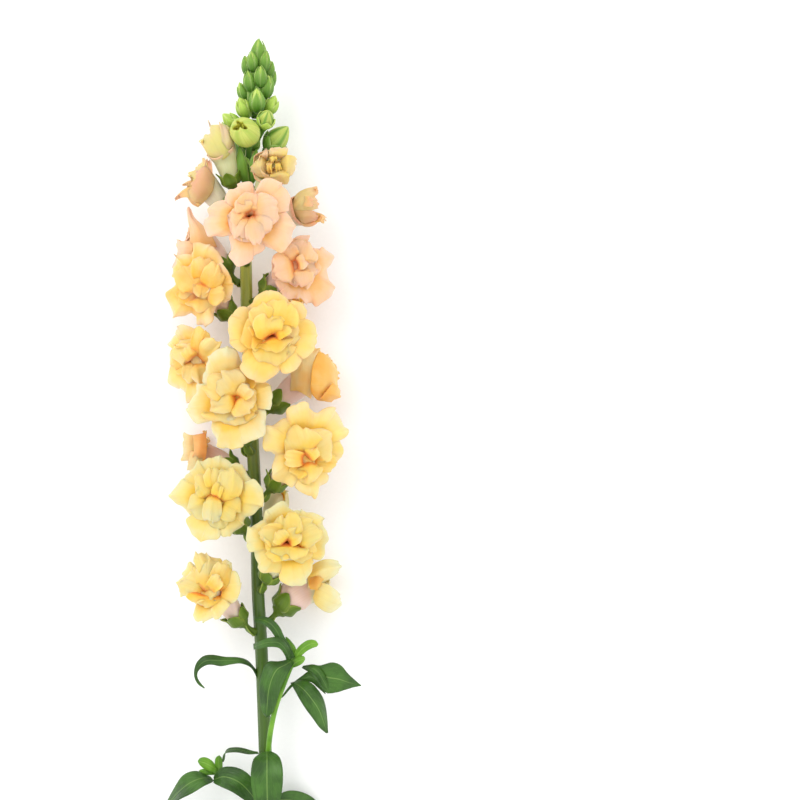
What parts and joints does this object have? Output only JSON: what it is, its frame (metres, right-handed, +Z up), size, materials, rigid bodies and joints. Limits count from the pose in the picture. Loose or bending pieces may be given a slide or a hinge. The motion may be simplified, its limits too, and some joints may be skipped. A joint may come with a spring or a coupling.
{
  "type": "snapdragon stem",
  "caption": "Cut stem of double snapdragon lying down: a spike of ruffled peach to yellow flowers below a tip of green buds, with lance-shaped leaves lower down.",
  "frame": {"origin": "on the surface the stem lies on, below the middle of its bounding box", "axes": "+Y from the slanted cut end to the tip of the spike, +Z up, out of the flowers' best side, +X to the right as seen from above with the tip pointing away"},
  "size_m": [0.102, 0.5798, 0.0714],
  "materials": {
    "petal_peach": "soft matte petal, peach pink",
    "petal_yellow": "soft matte petal, pale to golden yellow",
    "petal_bronze": "soft matte petal, tan peach and cream green",
    "bud_green": "satin bud scale, fresh green to lime",
    "calyx_green": "satin sepal, mid green",
    "leaf_green": "satin leaf, mid green with a pale midrib",
    "stem_green": "satin stem, olive green"
  },
  "bodies": {
    "root": {"bud_1": "bud_green", "bud_2": "bud_green", "bud_3": "bud_green", "bud_4": "bud_green", "bud_5": "bud_green", "bud_tip": "bud_green", "flower_01_calyx": "calyx_green", "flower_01_corolla": "petal_peach", "flower_02_calyx": "calyx_green", "flower_02_corolla": "petal_peach", "flower_03_calyx": "calyx_green", "flower_03_corolla": "petal_yellow", "flower_04_calyx": "calyx_green", "flower_04_corolla": "petal_peach", "flower_05_calyx": "calyx_green", "flower_05_corolla": "petal_yellow", "flower_06_calyx": "calyx_green", "flower_06_corolla": "petal_yellow", "flower_07_calyx": "calyx_green", "flower_07_corolla": "petal_yellow", "flower_08_calyx": "calyx_green", "flower_08_corolla": "petal_peach", "flower_09_calyx": "calyx_green", "flower_09_corolla": "petal_yellow", "flower_10_calyx": "calyx_green", "flower_10_corolla": "petal_peach", "flower_11_calyx": "calyx_green", "flower_11_corolla": "petal_yellow", "flower_12_calyx": "calyx_green", "flower_12_corolla": "petal_yellow", "flower_13_calyx": "calyx_green", "flower_13_corolla": "petal_yellow", "flower_14_calyx": "calyx_green", "flower_14_corolla": "petal_yellow", "flower_15_calyx": "calyx_green", "flower_15_corolla": "petal_peach", "flower_16_calyx": "calyx_green", "flower_16_corolla": "petal_yellow", "flower_17_calyx": "calyx_green", "flower_17_corolla": "petal_yellow", "leaf_arch_lower": "leaf_green", "leaf_arch_upper": "leaf_green", "leaf_bottom_center": "leaf_green", "leaf_bottom_left": "leaf_green", "leaf_center": "leaf_green", "leaf_far_left": "leaf_green", "leaf_low_back": "leaf_green", "leaf_low_left": "leaf_green", "leaf_low_right": "leaf_green", "leaf_right_far": "leaf_green", "leaf_right_low": "leaf_green", "leaf_small_left": "leaf_green", "leaf_upper_left": "leaf_green", "main_stem": "stem_green", "opening_flower_1": "petal_bronze", "opening_flower_2": "petal_bronze", "opening_flower_3": "petal_bronze", "opening_flower_4": "petal_bronze", "side_shoot_left": "leaf_green", "side_shoot_right": "leaf_green"}
  },
  "joints": []
}
